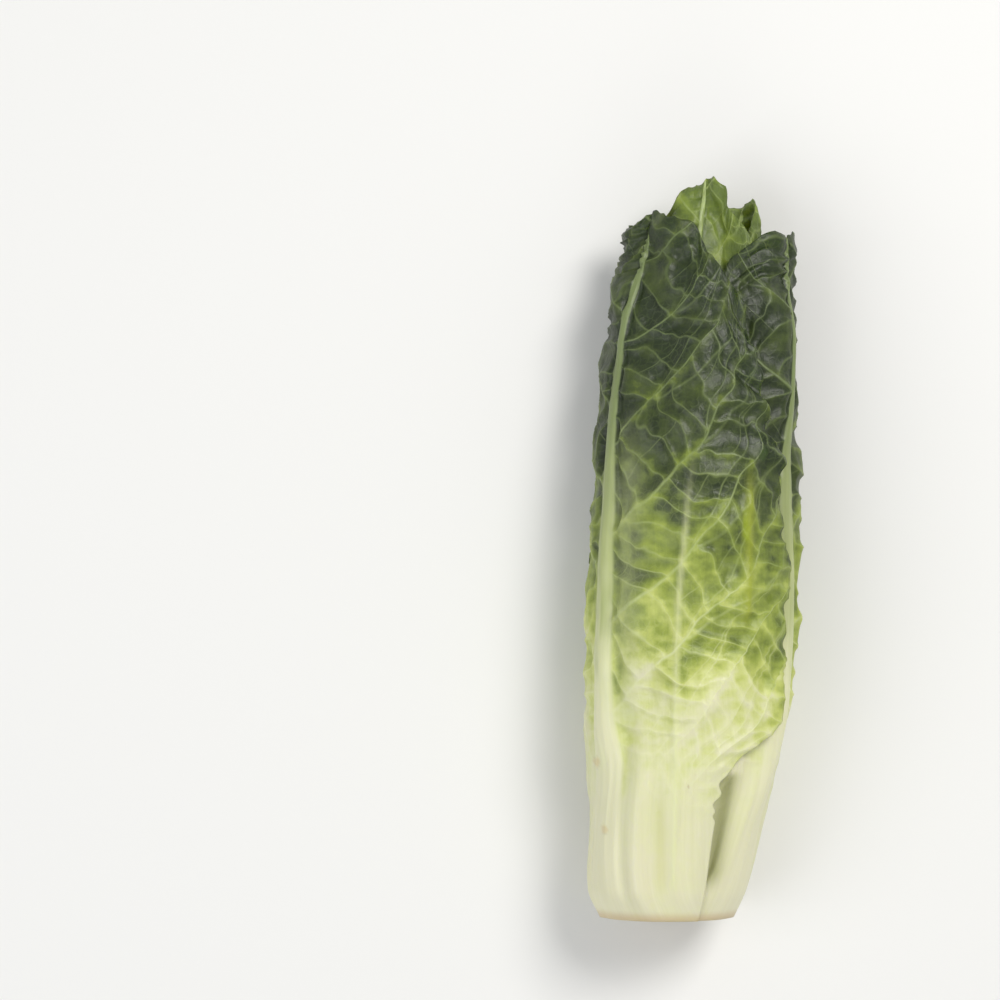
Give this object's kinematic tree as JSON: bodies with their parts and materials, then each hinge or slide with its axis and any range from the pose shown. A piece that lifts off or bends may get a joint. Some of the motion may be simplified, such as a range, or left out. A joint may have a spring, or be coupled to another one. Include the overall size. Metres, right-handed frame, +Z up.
{
  "type": "romaine lettuce head",
  "caption": "Trimmed romaine lettuce heart lying on its side: long ribbed leaves with waved edges wrapped round a short cut stem.",
  "frame": {"origin": "on the surface the head lies on, under the middle of its length and width", "axes": "+Y along the head from the cut stem to the leaf tips, +Z up"},
  "size_m": [0.0709, 0.245, 0.0546],
  "materials": {
    "stem": "cut, moist",
    "outer_leaf": "leaf, ivory rib to green blade",
    "middle_leaf": "leaf, ivory rib to light green blade",
    "inner_leaf": "leaf, ivory rib to pale yellow blade"
  },
  "bodies": {
    "root": {"stem": "stem", "leaf_01": "outer_leaf", "leaf_02": "outer_leaf", "leaf_03": "outer_leaf", "leaf_04": "middle_leaf", "leaf_05": "middle_leaf", "leaf_06": "middle_leaf", "leaf_07": "middle_leaf", "leaf_08": "inner_leaf", "leaf_09": "inner_leaf", "leaf_10": "inner_leaf", "leaf_11": "inner_leaf", "leaf_12": "inner_leaf", "leaf_13": "inner_leaf"}
  },
  "joints": []
}
